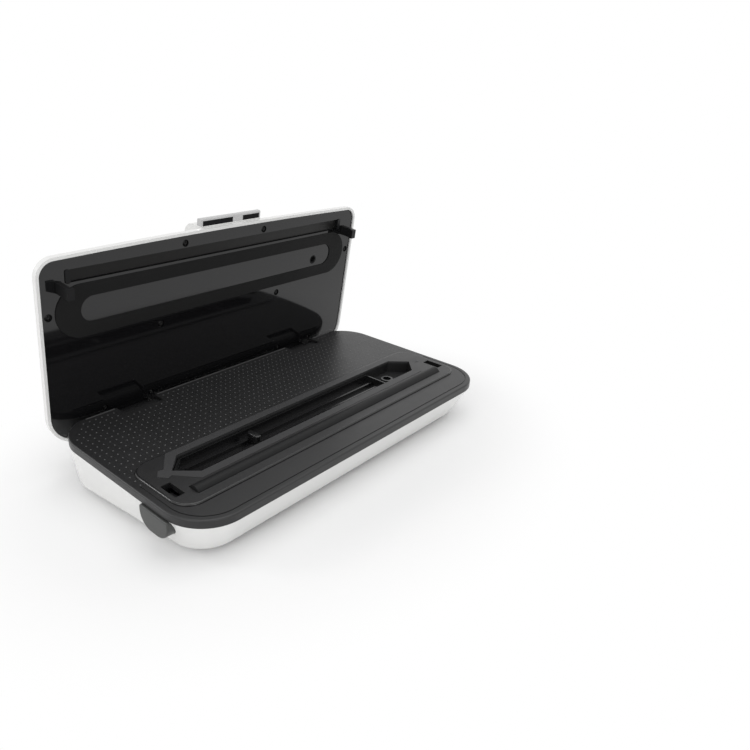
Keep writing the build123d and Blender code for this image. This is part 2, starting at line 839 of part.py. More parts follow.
# Hinges, latches and release buttons, one of each at either end
lug_drop = hinge_drop + lug_front
for name, side in sides.items():
    near = side * notch_near
    far = side * notch_far
    with BuildPart() as hinge_bracket:
        for start in (near - side * lug_thickness, far):
            with BuildSketch(across(deck, start)):
                with Locations((hinge_y + (lug_back - lug_front) / 2, -(deck_thickness + lug_drop) / 2)):
                    Rectangle(lug_front + lug_back, lug_drop - deck_thickness)
                with Locations((hinge_y, -hinge_drop)):
                    Circle(pin_radius + pin_fit, mode=Mode.SUBTRACT)
            extrude(amount=side * lug_thickness)
        with BuildSketch(across(deck, near - side * lug_thickness)):
            with Locations((hinge_y + (lug_back - lug_front) / 2, -lug_drop - bracket_floor / 2)):
                Rectangle(lug_front + lug_back, bracket_floor)
        extrude(amount=side * (notch_far - notch_near + 2 * lug_thickness))
    save(hinge_bracket.part, f"hinge_bracket_{name}")

    with BuildPart() as hinge_pin:
        with BuildSketch(across(deck, near - side * (lug_thickness + pin_stub), hinge_y, -hinge_drop)):
            Circle(pin_radius)
        extrude(amount=side * (notch_far - notch_near + 2 * lug_thickness + 2 * pin_stub))
    save(hinge_pin.part, f"hinge_pin_{name}")

    with BuildPart() as hinge_arm:
        with BuildSketch(across(lid, near + side * arm_fit)):
            Circle(knuckle_radius)
            with Locations((0, panel_back / 2)):
                Rectangle(2 * (knuckle_radius - arm_fit / 2), panel_back)
            Circle(pin_radius + pin_fit, mode=Mode.SUBTRACT)
        extrude(amount=side * (notch_far - notch_near - 2 * arm_fit))
        with BuildSketch(lid.offset(panel_back)):
            with Locations((side * (notch_near + notch_far) / 2, -(arm_flange_front - knuckle_radius) / 2)):
                Rectangle(notch_far - notch_near - 2 * arm_fit + 2 * arm_flange_side,
                          arm_flange_front + knuckle_radius)
        extrude(amount=arm_flange_thickness)
        with BuildSketch(lid.offset(panel_back)):
            with Locations(*hinge_screw_spots(side)):
                Circle(hinge_screw_radius + screw_fit)
        extrude(amount=arm_flange_thickness, mode=Mode.SUBTRACT)
    save(hinge_arm.part, f"hinge_arm_{name}")

    with BuildPart() as release_button:
        with BuildSketch(across(deck, side * button_inner, in_front(button_reach), -button_top)):
            add(button_outline())
        extrude(amount=side * (width / 2 + button_proud - button_inner))
        fillet(release_button.faces().sort_by(Axis.X)[-1 if side > 0 else 0].edges(), button_edge)
    save(release_button.part, f"release_button_{name}")

    catch_lip_x = latch_x - hook_thickness / 2 - hook_nose - catch_clearance
    with BuildPart() as latch_catch:
        with BuildSketch(deck.offset(-catch_bottom)):
            with Locations((side * (catch_lip_x - catch_lip + button_inner) / 2, slot_middle)):
                Rectangle(button_inner - catch_lip_x + catch_lip, catch_front - catch_back)
            window_end = latch_x + hook_thickness / 2 + button_travel + catch_clearance
            with Locations((side * (catch_lip_x + window_end) / 2, slot_middle)):
                Rectangle(window_end - catch_lip_x, slot_front - slot_back, mode=Mode.SUBTRACT)
        extrude(amount=catch_thickness)
    save(latch_catch.part, f"latch_catch_{name}")

    with BuildPart() as release_spring:
        with BuildSketch(across(deck, side * spring_wall_x, in_front(spring_reach), -spring_depth)):
            Circle(spring_radius)
            Circle(spring_radius - spring_wall, mode=Mode.SUBTRACT)
        extrude(amount=side * (button_inner - spring_wall_x))
    save(release_spring.part, f"release_spring_{name}")

    with BuildPart() as lid_switch:
        with BuildSketch(deck.offset(-deck_thickness)):
            with Locations((side * switch_x, in_front(switch_reach))):
                Rectangle(switch_length, switch_width)
        extrude(amount=-switch_height)
    save(lid_switch.part, f"lid_switch_{name}")

    with BuildPart() as latch_hook:
        hook_middle = -(hook_back + hook_front) / 2
        with BuildSketch(lid.offset(hook_tip)):
            with Locations((side * latch_x, hook_middle)):
                Rectangle(hook_thickness, hook_front - hook_back)
        extrude(amount=panel_back - hook_tip)
        with BuildSketch(lid.offset(hook_tip)):
            with Locations((side * (latch_x - hook_nose / 2), hook_middle)):
                Rectangle(hook_thickness + hook_nose, hook_front - hook_back)
        extrude(amount=hook_nose_height)
        with BuildSketch(lid.offset(panel_back)):
            with Locations((side * latch_x, hook_middle)):
                Rectangle(hook_thickness + 2 * hook_root_margin, hook_length + 2 * hook_root_margin)
        extrude(amount=hook_root)
    save(latch_hook.part, f"latch_hook_{name}")

    with BuildPart() as strip_clip:
        with BuildSketch(lid.offset(panel_level - clip_proud)):
            with Locations((side * (strip_length / 2 + carrier_fit + clip_length / 2), -strip_reach)):
                RectangleRounded(clip_length, clip_width, clip_length / 3)
        extrude(amount=clip_proud)
    save(strip_clip.part, f"strip_clip_{name}")


def dome(inset, height):
    """The lid's outer form, drawn in by an inset: a low side wall and a sloping top."""
    rim_level = panel_level - lid_lip
    with BuildPart() as shape:
        with BuildSketch(lid.offset(rim_level)):
            with Locations((0, lid_middle)):
                add(lid_outline(inset))
        extrude(amount=lid_side)
        with BuildSketch(lid.offset(rim_level + lid_side)):
            with Locations((0, lid_middle)):
                add(lid_outline(inset))
        with BuildSketch(lid.offset(rim_level + height)):
            with Locations((0, lid_middle)):
                add(lid_outline(inset, lid_slope, lid_back_slope))
        loft(ruled=True)
        fillet(shape.faces().sort_by(lid_normal)[-1].edges(), lid_crown)
    return shape.part


# White outer shell of the lid, with screw bosses that reach up into its dome
with BuildPart() as lid_bosses:
    with BuildSketch(lid.offset(panel_back)):
        with Locations(*[(x, -reach) for x, reach in lid_screw_points]):
            Circle(lid_boss_radius)
    extrude(amount=lid_thickness)
    add(dome(lid_wall / 2, lid_thickness - lid_wall / 2), mode=Mode.INTERSECT)

with BuildPart() as lid_shell:
    add(dome(0.0, lid_thickness))
    add(dome(lid_wall, lid_thickness - lid_wall), mode=Mode.SUBTRACT)
    add(lid_bosses.part)
    with BuildSketch(lid.offset(panel_back)):
        with Locations(*[(x, -reach) for x, reach in lid_screw_points]):
            Circle(lid_screw_radius + screw_fit)
    extrude(amount=lid_screw_length, mode=Mode.SUBTRACT)
    with BuildSketch(lid.offset(panel_level + control_sill)):
        with Locations((control_x, -(control_back + control_front) / 2)):
            Rectangle(2 * (control_half + control_fit), control_front - control_back + 2 * control_fit)
    extrude(amount=lid_thickness, mode=Mode.SUBTRACT)
save(lid_shell.part, "lid_shell")

# Glossy black inner panel of the lid
with BuildPart() as lid_panel:
    with BuildSketch(lid.offset(panel_level)):
        with Locations((0, lid_middle)):
            add(lid_outline(lid_wall + panel_fit))
    extrude(amount=panel_thickness)
    with BuildSketch(lid.offset(panel_level)):
        with Locations((0, -ring_reach)):
            SlotOverall(upper_ring_length + 2 * gasket_fit, upper_ring_width + 2 * gasket_fit)
            SlotOverall(upper_slot_length - 2 * gasket_fit, upper_slot_width - 2 * gasket_fit,
                        mode=Mode.SUBTRACT)
    extrude(amount=upper_ring_groove, mode=Mode.SUBTRACT)
    with BuildSketch(lid.offset(panel_level)):
        with Locations((0, -strip_reach)):
            Rectangle(strip_length + 2 * carrier_fit, carrier_width + 2 * carrier_fit)
        for side in sides.values():
            with Locations((side * latch_x, -(hook_back + hook_front) / 2)):
                Rectangle(hook_thickness + 2 * carrier_fit, hook_front - hook_back + 2 * carrier_fit)
            with Locations((side * (notch_near + notch_far) / 2, 0)):
                Rectangle(notch_far - notch_near - 2 * arm_fit + 2 * carrier_fit, 2 * knuckle_radius)
        with Locations(*[(x, -reach) for x, reach in lid_screw_points]):
            Circle(lid_screw_radius + screw_fit)
        for side in sides.values():
            with Locations(*hinge_screw_spots(side)):
                Circle(hinge_screw_radius + screw_fit)
        with Locations((vent_x, -vent_reach)):
            Circle(vent_radius + gasket_fit)
    extrude(amount=panel_thickness, mode=Mode.SUBTRACT)
    with BuildSketch(lid.offset(panel_level)):
        with Locations(*[(x, -reach) for x, reach in lid_screw_points]):
            Circle(lid_screw_recess)
        for side in sides.values():
            with Locations(*hinge_screw_spots(side)):
                Circle(hinge_screw_recess)
    extrude(amount=lid_screw_recess_depth, mode=Mode.SUBTRACT)
save(lid_panel.part, "lid_panel")

with BuildPart() as upper_gasket:
    with BuildSketch(lid.offset(panel_level - upper_ring_proud)):
        with Locations((0, -ring_reach)):
            SlotOverall(upper_ring_length, upper_ring_width)
            SlotOverall(upper_slot_length, upper_slot_width, mode=Mode.SUBTRACT)
    extrude(amount=upper_ring_proud + upper_ring_groove)
save(upper_gasket.part, "upper_gasket")

# Sealing strip: carrier, heating element and non-stick tape
with BuildPart() as seal_carrier:
    with BuildSketch(lid.offset(carrier_face)):
        with Locations((0, -strip_reach)):
            Rectangle(strip_length, carrier_width)
    extrude(amount=carrier_thickness)
    with BuildSketch(lid.offset(carrier_face)):
        with Locations((0, -strip_reach)):
            Rectangle(strip_length, element_width)
    extrude(amount=element_thickness, mode=Mode.SUBTRACT)
save(seal_carrier.part, "seal_carrier")

with BuildPart() as heating_element:
    with BuildSketch(lid.offset(carrier_face)):
        with Locations((0, -strip_reach)):
            Rectangle(strip_length, element_width)
    extrude(amount=element_thickness)
save(heating_element.part, "heating_element")

with BuildPart() as release_tape:
    with BuildSketch(lid.offset(strip_face)):
        with Locations((0, -strip_reach)):
            Rectangle(strip_length, tape_width)
    extrude(amount=tape_thickness)
save(release_tape.part, "release_tape")

with BuildPart() as vent_cup:
    with BuildSketch(lid.offset(panel_level)):
        with Locations((vent_x, -vent_reach)):
            Circle(vent_radius)
    extrude(amount=vent_height)
    with BuildSketch(lid.offset(panel_level)):
        with Locations((vent_x, -vent_reach)):
            Circle(vent_radius - vent_wall)
    extrude(amount=vent_height - vent_wall, mode=Mode.SUBTRACT)
save(vent_cup.part, "vent_cup")

# Control unit with its keys, lamps, windows and board
key_points = [(control_x + (i - (key_count - 1) / 2) * key_pitch, -key_reach) for i in range(key_count)]
lamp_points = [(x, -lamp_reach) for x, y in key_points]
control_middle = -(control_back + control_front) / 2
control_length = control_front - control_back
cavity_length = control_length - control_wall - control_round
cavity_middle = -(control_back + control_wall + cavity_length / 2)
with BuildPart() as control_housing:
    with BuildSketch(lid.offset(control_floor)):
        with Locations((control_x, control_middle)):
            Rectangle(2 * control_half, control_length)
    extrude(amount=control_top - control_floor)
    top_edges = control_housing.faces().sort_by(lid_normal)[-1].edges().filter_by(Axis.X)
    fillet(top_edges.sort_by(Axis.Z)[-1], control_round)
    with BuildSketch(lid.offset(control_floor)):
        with Locations((control_x, cavity_middle)):
            Rectangle(2 * (control_half - control_wall), cavity_length)
    extrude(amount=control_top - control_floor - control_wall, mode=Mode.SUBTRACT)
    with BuildSketch(lid.offset(control_floor)):
        with Locations((control_x, -control_front - lip_reach / 2 + control_wall / 2)):
            Rectangle(2 * control_half, lip_reach + control_wall)
    extrude(amount=lip_thickness)
    fillet(control_housing.faces().sort_by(Axis.Z)[-1].edges().filter_by(Axis.X), lip_edge)
    with BuildSketch(lid.offset(carrier_face)):
        with Locations((0, -strip_reach)):
            Rectangle(strip_length, carrier_width + 2 * carrier_fit)
    extrude(amount=carrier_thickness + carrier_fit, mode=Mode.SUBTRACT)
    with BuildSketch(lid.offset(control_top - control_wall)):
        with Locations(*key_points):
            Rectangle(key_length + 2 * key_fit, key_width + 2 * key_fit)
        with Locations(*lamp_points):
            Circle(lamp_radius + gasket_fit)
    extrude(amount=2 * control_wall, mode=Mode.SUBTRACT)
    window_line = -control_front - lip_reach + lip_edge + window_edge + window_height / 2
    with BuildSketch(lid.offset(control_floor)):
        for x, length in windows.values():
            with Locations((control_x + x, window_line)):
                Rectangle(length + 2 * gasket_fit, window_height + 2 * gasket_fit)
    extrude(amount=window_depth, mode=Mode.SUBTRACT)
save(control_housing.part, "control_housing")

for name, (x, length) in windows.items():
    with BuildPart() as control_window:
        with BuildSketch(lid.offset(control_floor)):
            with Locations((control_x + x, window_line)):
                Rectangle(length, window_height)
        extrude(amount=window_depth)
    save(control_window.part, f"control_window_{name}")

with BuildPart() as control_lamps:
    with BuildSketch(lid.offset(control_top - control_wall)):
        with Locations(*lamp_points):
            Circle(lamp_radius)
    extrude(amount=control_wall + gasket_fit)
save(control_lamps.part, "control_lamps")

with BuildPart() as control_board:
    with BuildSketch(lid.offset(board_top - panel_board_thickness)):
        with Locations((control_x, cavity_middle)):
            Rectangle(2 * (control_half - control_wall - key_fit), cavity_length - 2 * key_fit)
    extrude(amount=panel_board_thickness)
    with BuildSketch(lid.offset(board_top)):
        with Locations(*key_points):
            Rectangle(2 * tact_half, 2 * tact_half)
    extrude(amount=tact_height)
save(control_board.part, "control_board")

for name, point in zip(["vacuum", "seal", "pulse", "stop"], key_points):
    with BuildPart() as key:
        with BuildSketch(lid.offset(key_seat)):
            with Locations(point):
                Rectangle(key_length + 2 * (key_fit + key_flange), key_width + 2 * (key_fit + key_flange))
        extrude(amount=key_flange_thickness)
        with BuildSketch(lid.offset(key_seat)):
            with Locations(point):
                RectangleRounded(key_length, key_width, key_corner)
        extrude(amount=control_top + key_proud - key_seat)
    save(key.part, f"key_{name}")

# Screws of the lid panel and of the hinge arms
with BuildPart() as lid_screws:
    head_level = panel_level + lid_screw_recess_depth
    with BuildSketch(lid.offset(head_level - lid_screw_head_height)):
        with Locations(*[(x, -reach) for x, reach in lid_screw_points]):
            Circle(lid_screw_head)
    extrude(amount=lid_screw_head_height)
    with BuildSketch(lid.offset(head_level)):
        with Locations(*[(x, -reach) for x, reach in lid_screw_points]):
            Circle(lid_screw_radius)
    extrude(amount=lid_screw_length)
save(lid_screws.part, "lid_screws")

with BuildPart() as hinge_screws:
    screw_spots = hinge_screw_spots(-1) + hinge_screw_spots(1)
    with BuildSketch(lid.offset(head_level - lid_screw_head_height)):
        with Locations(*screw_spots):
            Circle(hinge_screw_head)
    extrude(amount=lid_screw_head_height)
    with BuildSketch(lid.offset(head_level)):
        with Locations(*screw_spots):
            Circle(hinge_screw_radius)
    extrude(amount=hinge_screw_length)
save(hinge_screws.part, "hinge_screws")
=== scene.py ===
import bmesh
import bpy
import json
import math
from mathutils import Matrix, Vector


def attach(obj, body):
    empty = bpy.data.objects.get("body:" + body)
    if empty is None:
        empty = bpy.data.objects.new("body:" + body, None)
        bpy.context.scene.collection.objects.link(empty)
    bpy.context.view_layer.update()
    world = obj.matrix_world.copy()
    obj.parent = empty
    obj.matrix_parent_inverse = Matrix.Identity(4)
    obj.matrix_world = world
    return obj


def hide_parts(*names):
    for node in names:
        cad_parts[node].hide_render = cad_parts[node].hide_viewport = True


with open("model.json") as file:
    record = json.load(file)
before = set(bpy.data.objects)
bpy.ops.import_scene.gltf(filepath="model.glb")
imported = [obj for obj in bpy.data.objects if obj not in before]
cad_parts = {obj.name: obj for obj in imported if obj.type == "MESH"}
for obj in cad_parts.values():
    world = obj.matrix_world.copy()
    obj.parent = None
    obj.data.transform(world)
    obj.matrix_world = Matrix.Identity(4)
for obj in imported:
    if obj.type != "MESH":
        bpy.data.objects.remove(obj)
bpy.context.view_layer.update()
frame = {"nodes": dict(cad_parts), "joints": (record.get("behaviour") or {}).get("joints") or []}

# Sizes and angles of the machine, as in the part's source. All lengths here are in metres
DECK_SLOPE = math.radians(3.1)
HINGE_DROP = 0.0144
LID_OPENING = math.radians(84.4)
PANEL_LEVEL = 0.0174
SCREW_RECESS = 0.0015
LID_SCREW_HEAD = 0.0028
HINGE_SCREW_HEAD = 0.0021
SCREW_HEAD_HEIGHT = 0.0012
LID_SCREWS = [(-0.0457, 0.1456), (0.0457, 0.1456), (-0.172, 0.1066), (0.172, 0.1066), (-0.0703, 0.0767),
              (0.0703, 0.0767)]
HINGE_SCREWS = [(-0.0805, 0.0115), (0.0805, 0.0115), (-0.1275, 0.0115), (0.1275, 0.0115)]

# Mesh of a screw head, and its cross recess in shares of its radius and height
SCREW_HEAD_SIDES = 32
SCREW_HEAD_RINGS = 16
CROSS_HALF = 0.14
CROSS_REACH = 0.62
CROSS_FLOOR = 0.4
CROSS_CUTTER = 1.0

# Plan of the deck, by half lengths and distances in front of the hinge
DECK_HALF = 0.18
DECK_BACK = -0.011
DECK_FRONT = 0.176
DECK_CORNER = 0.036
PLATFORM_HALF = 0.171
PLATFORM_BACK = 0.0825
PLATFORM_FRONT = 0.1513
PLATFORM_CORNER = 0.016
NOTCH_NEAR = 0.0835
NOTCH_FAR = 0.1223
NOTCH_REACH = 0.0075

# Polished edge of the platform, measured inwards from its outline
EDGE_MIDDLE = 0.0007
EDGE_HALF = 0.001

# Distance from the hinge at which the silver lip of the control unit starts
LIP_START = 0.1566

# Tilt of the flat panel's shading: where it starts, and how it grows per metre
BOW_START = 0.03
BOW_RATE = 1.2

# Hinge covers and the bead along the deck's rear edge
COVER_HALF = 0.018
COVER_OUTER = 0.0125
COVER_INNER = 0.0062
COVER_START = math.radians(30.0)
COVER_END = math.radians(120.0)
COVER_STEPS = 18
BEAD_RADIUS = 0.0008
BEAD_SIDES = 16
BEAD_REACH = -0.0066
BEAD_RUNS = [(-0.152, -0.1245), (-0.0815, 0.0815), (0.1245, 0.152)]

# Rounded grip set across the drip tray, and the plain tab of the solid that it stands in for
TRAY_REACH = 0.1066
TRAY_FLOOR = -0.0086
GRIP_X = -0.0671
GRIP_TOP = 0.0012
GRIP_HALF_LENGTH = 0.0066
GRIP_HALF_THICKNESS = 0.0027
GRIP_ROUNDING = 0.001
GRIP_STEPS = 10
ROUNDING_STEPS = 4
TAB_X = -0.0712
TAB_HALF_LENGTH = 0.006
TAB_HALF_THICKNESS = 0.00125

# Tolerances: one for places on the tray, and one for points that count as the same
NEAR = 0.0001
SAME = 0.000001

# Raised dots on the rear deck
DOT_RADIUS = 0.00062
DOT_SIDES = 8
DOT_RINGS = 5
DOT_HEIGHT = 0.0003
DOT_PITCH_ALONG = 0.0056
DOT_PITCH_ACROSS = 0.0066
DOT_MARGIN = 0.0055
DOT_CLEARANCE = 0.0022
DOT_END_REACH = 0.112

# Scales of the surface detail, per metre
DRIFT_SCALE = 18.0
PATCH_SCALE = 95.0
GRAIN_SCALE = 2600.0
SPECK_SCALE = 1450.0
FOAM_SCALE = 1900.0
DECK_GRAIN_SCALE = 1100.0
DECK_SPECK_SCALE = 950.0
STAIN_SCALE = 260.0
WEAVE_SCALE = 700.0
CLOTH_MOTTLE_SCALE = 120.0
TRACK_SCALE = 130.0
BOARD_MOTTLE_SCALE = 400.0
PANEL_MOTTLE_SCALE = 1400.0
WIPING_SCALE = (30.0, 30.0, 260.0)
SCREW_LINES = (900.0, 900.0, 900.0)
DRAWN_LINES = (300.0, 300.0, 3000.0)
CAN_LINES = (2500.0, 150.0, 150.0)
FLOOR_SCALE = 3.0

# Noise above these levels is a pale speck
SPECK_LEVEL = 0.79
DECK_SPECK_LEVEL = 0.72

# Width of a track on the circuit boards, as a share of their pattern
TRACK_WIDTH = 0.03

# Depths of the surface relief
MOULD_DEPTH = 0.00002
DECK_DEPTH = 0.00012
SCRATCH_DEPTH = 0.00001
WEAVE_DEPTH = 0.00004
TRACK_DEPTH = 0.00003
LIP_DEPTH = 0.000005

# Colours inside the patterns; the first is painted shade in the cross recess of the screw heads
RECESS_PAINTED_SHADE = (0.02, 0.02, 0.02, 1.0)
CLOTH_DARK = (0.004, 0.004, 0.004, 1.0)
CLOTH_PALE = (0.012, 0.011, 0.01, 1.0)
BOARD_GREEN = (0.015, 0.1, 0.04, 1.0)
TRACK_GREEN = (0.05, 0.24, 0.1, 1.0)

# Gloss and metal of single surfaces
CLOTH_ROUGHNESS = 0.375
BOARD_ROUGHNESS = 0.35
DECK_ROUGHNESS = 0.4
COAT_ROUGHNESS = 0.06
SPECK_DULLING = 0.08
EDGE_POLISH = 0.2
LIP_METALLIC = 0.6
CLOTH_SPECULAR = 0.25

# Camera, fitted to the photograph
CAMERA_PLACE = Vector((-0.3866, -0.3981, 0.2941))
CAMERA_RIGHT = Vector((0.6807, -0.7326, 0.0))
CAMERA_BACK = Vector((-0.6767, -0.6288, 0.3829))
CAMERA_SENSOR = 36.0
CAMERA_LENS = 31.84
CAMERA_SHIFT = 0.0867
CAMERA_NEAREST = 0.01

# Floor, and where it fades to white: distances from the middle, of which those along the machine count less
FLOOR_HALF = 12.0
FLOOR_COLOUR = (0.93, 0.93, 0.93)
FLOOR_ROUGHNESS = 0.7
FADE_START = 0.12
FADE_END = 0.25
FADE_ALONG = 0.75

# Light: the world's level, the point that the lamps face, and each lamp's place, side and watts
AMBIENT = 0.54
LIT_POINT = Vector((0.0, 0.0, 0.05))
LAMPS = [("top_light", Vector((0.1, -0.2, 1.6)), 1.4, 9.0),
         ("left_light", Vector((-1.5, -0.5, 0.7)), 1.0, 4.2),
         ("front_light", Vector((-0.5, -1.6, 0.3)), 0.8, 3.5),
         ("edge_light", Vector((-1.1, 1.0, 0.8)), 0.3, 3.5)]
WHITE = (1.0, 1.0, 1.0, 1.0)

joints = {joint["name"]: joint for joint in frame["joints"]}
hinge = Vector(joints["lid_hinge"]["pos_m"])
LEAN = LID_OPENING - DECK_SLOPE
deck_normal = Vector((0.0, -math.sin(DECK_SLOPE), math.cos(DECK_SLOPE)))
deck_back = Vector((0.0, math.cos(DECK_SLOPE), math.sin(DECK_SLOPE)))
lid_normal = Vector((0.0, math.sin(LEAN), math.cos(LEAN)))
lid_back = Vector((0.0, math.cos(LEAN), -math.sin(LEAN)))
lid_outward = -lid_back


def on_deck(x, reach, height):
    """A point by its distance in front of the hinge and its height over the deck."""
    return hinge + Vector((x, 0.0, 0.0)) - deck_back * reach + deck_normal * (HINGE_DROP + height)


def deck_place(point):
    """The distance along, the distance in front of the hinge and the height over the deck of a point."""
    offset = point - hinge
    return offset.x, -offset.dot(deck_back), offset.dot(deck_normal) - HINGE_DROP


def on_lid(x, reach, level):
    """A point of the lid by its distance from the hinge and its level over the hinge line."""
    return hinge + Vector((x, 0.0, 0.0)) - lid_back * reach + lid_normal * level


class Wire:
    """A shader socket that takes part in arithmetic."""

    def __init__(self, tree, socket=None):
        self.tree = tree
        self.socket = socket

    def node(self, kind, inputs=None, output=0, **settings):
        """Adds a node with its settings and the values or links of its sockets, and gives one output."""
        made = self.tree.nodes.new(kind)
        for name, value in settings.items():
            setattr(made, name, value)
        for name, value in (inputs or {}).items():
            if isinstance(value, Wire):
                self.tree.links.new(value.socket, made.inputs[name])
            else:
                made.inputs[name].default_value = value
        return Wire(self.tree, made.outputs[output])

    def beside(self, output):
        """Another output of the same node."""
        return Wire(self.tree, self.socket.node.outputs[output])

    def math(self, operation, first, second=0.0):
        """Adds one Math node."""
        return self.node("ShaderNodeMath", {0: first, 1: second}, operation=operation)

    def __add__(self, other):
        return self.math("ADD", self, other)

    __radd__ = __add__

    def __sub__(self, other):
        return self.math("SUBTRACT", self, other)

    def __rsub__(self, other):
        return self.math("SUBTRACT", other, self)

    def __mul__(self, other):
        return self.math("MULTIPLY", self, other)

    __rmul__ = __mul__

    def __lt__(self, other):
        return self.math("LESS_THAN", self, other)

    def __gt__(self, other):
        return self.math("GREATER_THAN", self, other)


def new_material(name):
    """An empty node material with a start for its expressions, its Object coordinates and its shader."""
    material = bpy.data.materials.new(name)
    material.use_nodes = True
    tree = material.node_tree
    start = Wire(tree)
    place = start.node("ShaderNodeTexCoord", output="Object")
    return material, start, place, tree.nodes["Principled BSDF"]


def link(wire, shader, name):
    """Feeds a varying value to one socket of the shader."""
    wire.tree.links.new(wire.socket, shader.inputs[name])


def noise(start, place, scale, detail=3.0, roughness=0.55):
    """Soft noise between 0 and 1 at a scale per metre."""
    return start.node("ShaderNodeTexNoise", {"Vector": place, "Scale": scale, "Detail": detail,
                                             "Roughness": roughness})


def stretched(start, place, scale):
    """Coordinates with a scale for each axis."""
    return start.node("ShaderNodeMapping", {"Vector": place, "Scale": scale})


def measured(start, place, direction):
    """The distance of each point along a direction."""
    return start.node("ShaderNodeVectorMath", {0: place, 1: direction}, output=1, operation="DOT_PRODUCT")


def relief(height, depth, strength=0.5):
    """A bump of a depth in metres."""
    return height.node("ShaderNodeBump", {"Strength": strength, "Distance": depth, "Height": height})


def uneven(wire, middle, spread):
    """A value that varies around a middle one with a noise between 0 and 1."""
    return wire * spread + (middle - spread / 2)


def shade_mix(start, factor, dark, light):
    """A colour between two, by a factor."""
    return start.node("ShaderNodeMix", {0: factor, 6: dark, 7: light}, output=2, data_type="RGBA")


def tinted(colour, amount):
    """A colour made lighter or darker by a share."""
    return tuple(min(1.0, channel * (1.0 + amount)) for channel in colour) + (1.0,)


def varied(start, factor, colour, spread):
    """A colour that drifts to both sides by a share."""
    return shade_mix(start, factor, tinted(colour, -spread), tinted(colour, spread))


def moulded(name, colour, roughness, spread=0.12, rough_spread=0.1, grain=GRAIN_SCALE,
            grain_depth=MOULD_DEPTH, coat=0.0, specular=0.5):
    """Moulded plastic or rubber: slow tint drift, patchy gloss, dust specks and a fine moulded grain."""
    material, start, place, shader = new_material(name)
    drift = noise(start, place, DRIFT_SCALE, detail=2.0)
    fine = noise(start, place, grain, detail=2.0)
    patches = noise(start, place, PATCH_SCALE, detail=4.0)
    specks = noise(start, place, SPECK_SCALE, detail=1.0) > SPECK_LEVEL
    link(varied(start, drift * 0.6 + fine * 0.25 + specks * 0.35, colour, spread), shader, "Base Color")
    link(uneven(patches, roughness, rough_spread) + specks * SPECK_DULLING, shader, "Roughness")
    link(relief(fine, grain_depth), shader, "Normal")
    shader.inputs["Specular IOR Level"].default_value = specular
    shader.inputs["Coat Weight"].default_value = coat
    shader.inputs["Coat Roughness"].default_value = COAT_ROUGHNESS
    return material


def metal(name, colour, roughness, lines, cross=False):
    """Bright metal with fine drawn lines and, on screw heads, painted shade in the cross recess."""
    material, start, place, shader = new_material(name)
    scratch = noise(start, stretched(start, place, lines), 1.0, detail=4.0, roughness=0.7)
    stain = noise(start, place, STAIN_SCALE, detail=3.0)
    shade = shade_mix(start, scratch * 0.6 + stain * 0.4, tinted(colour, -0.25), tinted(colour, 0.2))
    # Painted shade: the cross recess is coloured near black, where its hollow lies in shade
    if cross:
        head = start.node("ShaderNodeAttribute", output=1, attribute_name="head")
        axes = start.node("ShaderNodeSeparateXYZ", {"Vector": head})
        across = start.math("ABSOLUTE", axes)
        along = start.math("ABSOLUTE", axes.beside(1))
        in_arm = start.math("MINIMUM", across, along) < CROSS_HALF
        in_reach = start.math("MAXIMUM", across, along) < CROSS_REACH
        shade = shade_mix(start, in_arm * in_reach, shade, RECESS_PAINTED_SHADE)
    link(shade, shader, "Base Color")
    link(uneven(scratch, roughness, spread=0.2), shader, "Roughness")
    link(relief(scratch, SCRATCH_DEPTH, strength=0.3), shader, "Normal")
    shader.inputs["Metallic"].default_value = 1.0
    return material


def coated_cloth(name):
    """The strip's coated glass cloth, with its fine plain weave."""
    material, start, place, shader = new_material(name)
    threads = {"Vector": place, "Scale": WEAVE_SCALE}
    warp = start.node("ShaderNodeTexWave", threads, output=1, bands_direction="X")
    weft = start.node("ShaderNodeTexWave", threads, output=1, bands_direction="Z")
    weave = warp * weft
    mottle = noise(start, place, CLOTH_MOTTLE_SCALE, detail=3.0)
    link(shade_mix(start, weave * 0.6 + mottle * 0.4, CLOTH_DARK, CLOTH_PALE), shader, "Base Color")
    link(uneven(weave, CLOTH_ROUGHNESS, spread=0.15), shader, "Roughness")
    link(relief(weave, WEAVE_DEPTH, strength=0.4), shader, "Normal")
    shader.inputs["Specular IOR Level"].default_value = CLOTH_SPECULAR
    return material


def board(name):
    """Green circuit board with paler track lines."""
    material, start, place, shader = new_material(name)
    sizes = {"Vector": place, "Scale": TRACK_SCALE, "Mortar Size": TRACK_WIDTH}
    tracks = start.node("ShaderNodeTexBrick", sizes, output=1)
    mottle = noise(start, place, BOARD_MOTTLE_SCALE, detail=3.0)
    link(shade_mix(start, tracks * 0.7 + mottle * 0.3, BOARD_GREEN, TRACK_GREEN), shader, "Base Color")
    link(uneven(mottle, BOARD_ROUGHNESS, spread=0.2), shader, "Roughness")
    link(relief(tracks, TRACK_DEPTH, strength=0.4), shader, "Normal")
    return material


def two_tone(name, shell, lip, roughness):
    """The control unit: its body like the shell, and satin silver on the lift lip beyond the lid's edge."""
    material, start, place, shader = new_material(name)
    reach = measured(start, place, lid_outward) - hinge.dot(lid_outward)
    on_lip = reach > LIP_START
    fine = noise(start, place, GRAIN_SCALE, detail=2.0)
    patches = noise(start, place, PATCH_SCALE, detail=4.0)
    body = varied(start, patches, shell, spread=0.025)
    silver = varied(start, fine * 0.5 + patches * 0.5, lip, spread=0.12)
    link(shade_mix(start, on_lip, body, silver), shader, "Base Color")
    link(on_lip * LIP_METALLIC, shader, "Metallic")
    link(uneven(patches, roughness, spread=0.08), shader, "Roughness")
    link(relief(fine, LIP_DEPTH), shader, "Normal")
    return material


